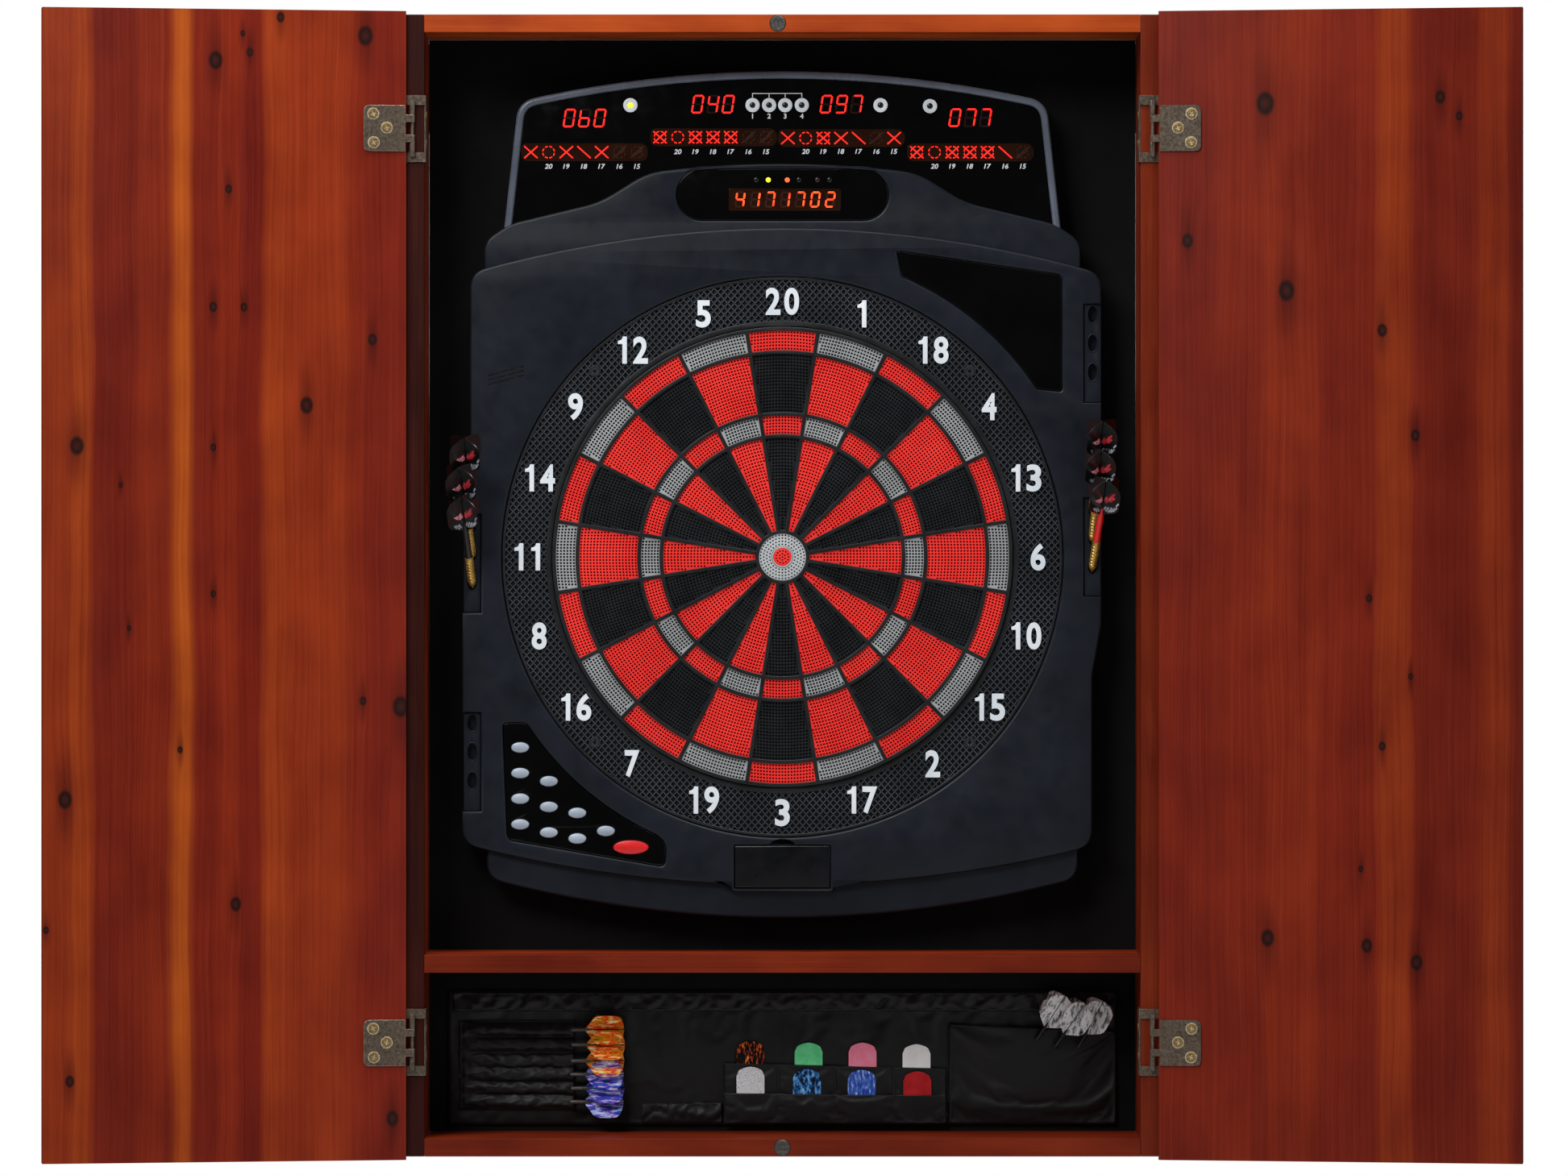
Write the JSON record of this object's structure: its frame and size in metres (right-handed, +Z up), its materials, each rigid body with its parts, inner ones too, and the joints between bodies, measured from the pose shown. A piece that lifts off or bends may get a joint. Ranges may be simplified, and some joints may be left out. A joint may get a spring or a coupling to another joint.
{
  "type": "dart board cabinet",
  "caption": "Wall-hung pine cabinet with two swinging doors, holding an electronic soft-tip dartboard above a black nylon accessory pouch.",
  "frame": {"origin": "middle of the hanging rail's rear face, where the cabinet lies on the wall; the cabinet's own centre is 430 mm below it", "axes": "+X to the right seen from the front, +Y into the wall, +Z up; the doors open towards -Y"},
  "size_m": [1.2538, 0.1605, 0.977],
  "materials": {
    "pine": "cinnamon-stained pine, satin lacquer",
    "black_board": "black matt",
    "antique_nickel": "antique nickel",
    "magnet_steel": "dull steel",
    "zinc_plate": "zinc plated",
    "brass": "turned brass",
    "slate_plastic": "fine texture",
    "black_gloss": "gloss",
    "black_plastic": "satin",
    "red_plastic": "satin",
    "grey_plastic": "satin",
    "number_grey": "satin",
    "circuit_board": "solder mask",
    "lamp_red": "lit",
    "lamp_yellow": "lit",
    "black_nylon": "plain-weave nylon with a light sheen",
    "flight_film": "printed film"
  },
  "bodies": {
    "cabinet": {"left_side_panel": "pine", "right_side_panel": "pine", "top_panel": "pine", "bottom_panel": "pine", "divider_shelf": "pine", "hanging_rail": "pine", "back_panel": "black_board", "left_upper_hinge_frame_leaf": "antique_nickel", "left_lower_hinge_frame_leaf": "antique_nickel", "right_upper_hinge_frame_leaf": "antique_nickel", "right_lower_hinge_frame_leaf": "antique_nickel", "upper_magnet": "magnet_steel", "lower_magnet": "magnet_steel", "left_keyhole_plate": "zinc_plate", "right_keyhole_plate": "zinc_plate", "board_rear_shell": "slate_plastic", "board_front_shell": "slate_plastic", "lid_tray": "slate_plastic", "chin_shell": "slate_plastic", "shoulder_shell": "slate_plastic", "crown_shell": "slate_plastic", "right_upper_dart_holder": "slate_plastic", "right_lower_dart_holder": "slate_plastic", "left_upper_dart_holder": "slate_plastic", "left_lower_dart_holder": "slate_plastic", "turn_display_lens": "black_gloss", "crown_lens": "black_gloss", "keypad_plate": "black_gloss", "corner_plate": "black_gloss", "display_circuit_board": "circuit_board", "main_circuit_board": "circuit_board", "speaker": "black_plastic", "catch_ring": "black_plastic", "spider": "black_plastic", "sensor_mat": "black_plastic", "inner_single_segments": "red_plastic", "outer_single_segments": "red_plastic", "inner_bull_segment": "red_plastic", "triple_segments": "grey_plastic", "double_segments": "grey_plastic", "outer_bull_segment": "grey_plastic", "accessory_pouch": "black_nylon"},
    "left_door": {"left_door": "pine", "left_upper_hinge_door_plate": "antique_nickel", "left_lower_hinge_door_plate": "antique_nickel"},
    "right_door": {"right_door": "pine", "right_upper_hinge_door_plate": "antique_nickel", "right_lower_hinge_door_plate": "antique_nickel"},
    "compartment_lid": {"compartment_lid": "slate_plastic"},
    "back_button": {"back_button": "grey_plastic"},
    "solo_button": {"solo_button": "grey_plastic"},
    "sound_button": {"sound_button": "grey_plastic"},
    "eliminate_button": {"eliminate_button": "grey_plastic"},
    "player_button": {"player_button": "grey_plastic"},
    "double_button": {"double_button": "grey_plastic"},
    "bounce_button": {"bounce_button": "grey_plastic"},
    "option_button": {"option_button": "grey_plastic"},
    "team_button": {"team_button": "grey_plastic"},
    "game_button": {"game_button": "grey_plastic"},
    "start_button": {"start_button": "red_plastic"}
  },
  "joints": [
    {"name": "left_door_hinge", "type": "hinge", "parent": "cabinet", "child": "left_door", "pos_m": [-0.3147, -0.1155, -0.43], "axis": [0, 0, 1], "range_deg": [0, 172]},
    {"name": "right_door_hinge", "type": "hinge", "parent": "cabinet", "child": "right_door", "pos_m": [0.3147, -0.1155, -0.43], "axis": [0, 0, -1], "range_deg": [0, 172]},
    {"name": "lid_hinge", "type": "hinge", "parent": "cabinet", "child": "compartment_lid", "pos_m": [0, -0.0588, -0.6884], "axis": [1, 0, 0], "range_deg": [0, 95]},
    {"name": "back_button_press", "type": "slide", "parent": "cabinet", "child": "back_button", "axis": [0, 1, 0], "range_m": [0, 0.0015], "stiffness_N_per_m": 400},
    {"name": "solo_button_press", "type": "slide", "parent": "cabinet", "child": "solo_button", "axis": [0, 1, 0], "range_m": [0, 0.0015], "stiffness_N_per_m": 400},
    {"name": "sound_button_press", "type": "slide", "parent": "cabinet", "child": "sound_button", "axis": [0, 1, 0], "range_m": [0, 0.0015], "stiffness_N_per_m": 400},
    {"name": "eliminate_button_press", "type": "slide", "parent": "cabinet", "child": "eliminate_button", "axis": [0, 1, 0], "range_m": [0, 0.0015], "stiffness_N_per_m": 400},
    {"name": "player_button_press", "type": "slide", "parent": "cabinet", "child": "player_button", "axis": [0, 1, 0], "range_m": [0, 0.0015], "stiffness_N_per_m": 400},
    {"name": "double_button_press", "type": "slide", "parent": "cabinet", "child": "double_button", "axis": [0, 1, 0], "range_m": [0, 0.0015], "stiffness_N_per_m": 400},
    {"name": "bounce_button_press", "type": "slide", "parent": "cabinet", "child": "bounce_button", "axis": [0, 1, 0], "range_m": [0, 0.0015], "stiffness_N_per_m": 400},
    {"name": "option_button_press", "type": "slide", "parent": "cabinet", "child": "option_button", "axis": [0, 1, 0], "range_m": [0, 0.0015], "stiffness_N_per_m": 400},
    {"name": "team_button_press", "type": "slide", "parent": "cabinet", "child": "team_button", "axis": [0, 1, 0], "range_m": [0, 0.0015], "stiffness_N_per_m": 400},
    {"name": "game_button_press", "type": "slide", "parent": "cabinet", "child": "game_button", "axis": [0, 1, 0], "range_m": [0, 0.0015], "stiffness_N_per_m": 400},
    {"name": "start_button_press", "type": "slide", "parent": "cabinet", "child": "start_button", "axis": [0, 1, 0], "range_m": [0, 0.0015], "stiffness_N_per_m": 400}
  ]
}
